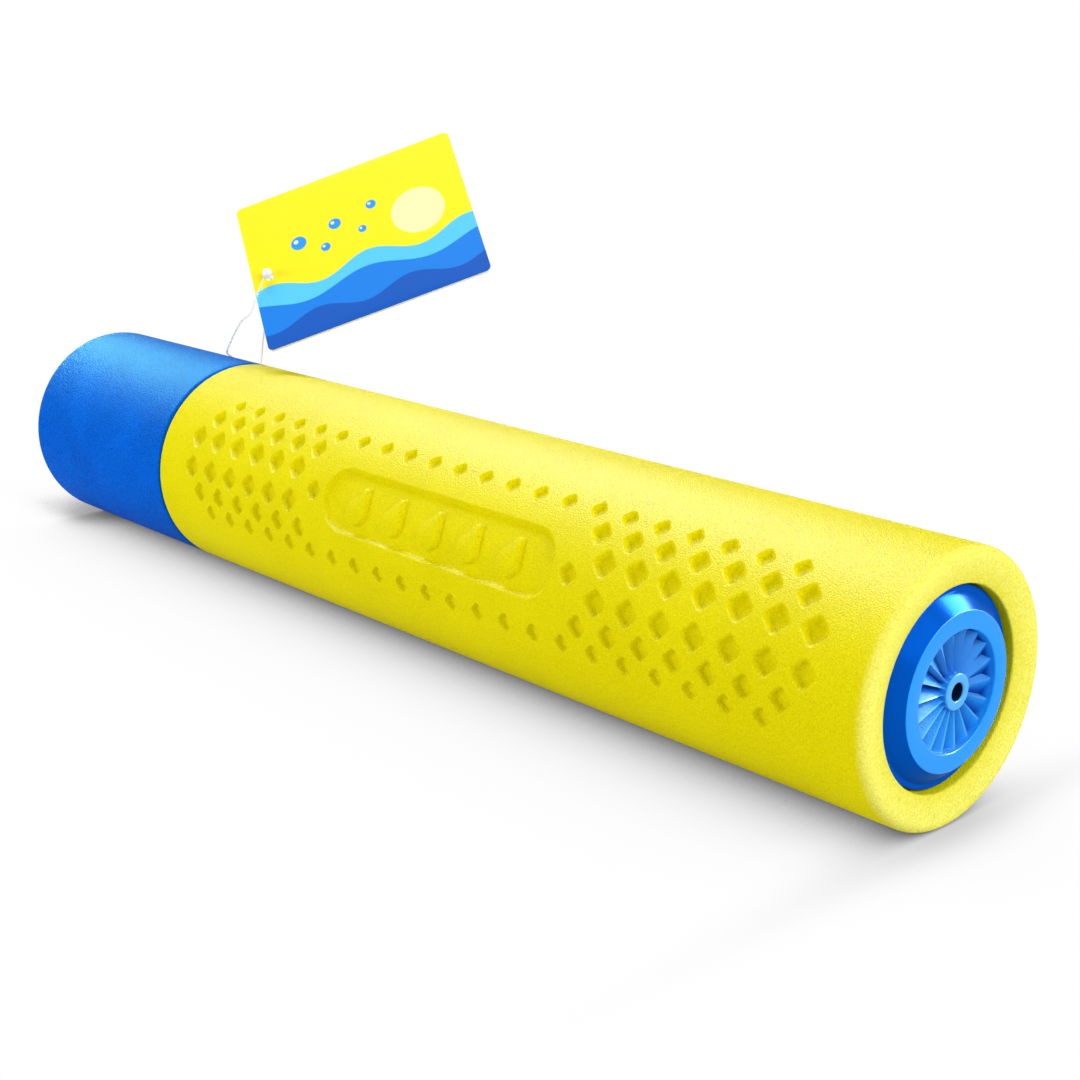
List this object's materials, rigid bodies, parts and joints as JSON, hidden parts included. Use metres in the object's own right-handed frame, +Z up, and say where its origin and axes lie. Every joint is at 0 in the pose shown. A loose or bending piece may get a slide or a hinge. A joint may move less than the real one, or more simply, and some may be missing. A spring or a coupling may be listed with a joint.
{
  "type": "foam water squirter",
  "caption": "Foam-covered syringe water squirter: an embossed foam barrel with a vaned nozzle cap, and a foam handle that slides and turns on the piston rod to draw in and push out water.",
  "frame": {"origin": "under the middle of the length, on the surface that the squirter lies on", "axes": "+X along the barrel towards the nozzle, +Z up, the embossed side towards -Y"},
  "size_m": [0.28, 0.0781, 0.1055],
  "materials": {
    "yellow_foam": "closed-cell foam with a fine skin grain",
    "blue_foam": "closed-cell foam with a fine skin grain",
    "blue_plastic": "moulded, glossy cone and satin ring",
    "white_plastic": "moulded, satin",
    "tube_plastic": "extruded, smooth",
    "black_rubber": "moulded",
    "steel": "zinc plated",
    "nylon": "translucent",
    "card": "coated board"
  },
  "bodies": {
    "barrel": {"barrel_sleeve": "yellow_foam", "barrel_tube": "tube_plastic", "nozzle_cap": "blue_plastic", "nozzle_seal": "black_rubber", "rear_cap": "white_plastic", "tag_loop": "nylon", "hang_tag": "card", "tag_lock": "nylon"},
    "piston": {"piston_head": "white_plastic", "piston_seal_front": "black_rubber", "piston_seal_rear": "black_rubber"},
    "handle": {"plunger_rod": "white_plastic", "rod_front_plug": "white_plastic", "rod_rear_plug": "white_plastic", "piston_washer": "steel", "piston_screw": "steel", "handle_core": "white_plastic", "handle_front_disc": "white_plastic", "handle_grip": "blue_foam", "handle_end_cap": "white_plastic", "handle_screw": "steel"}
  },
  "joints": [
    {"name": "plunger_slide", "type": "slide", "parent": "barrel", "child": "piston", "axis": [-1, 0, 0], "range_m": [0, 0.146]},
    {"name": "handle_turn", "type": "hinge", "parent": "piston", "child": "handle", "pos_m": [0, 0, 0.0247], "axis": [1, 0, 0], "continuous": true}
  ]
}
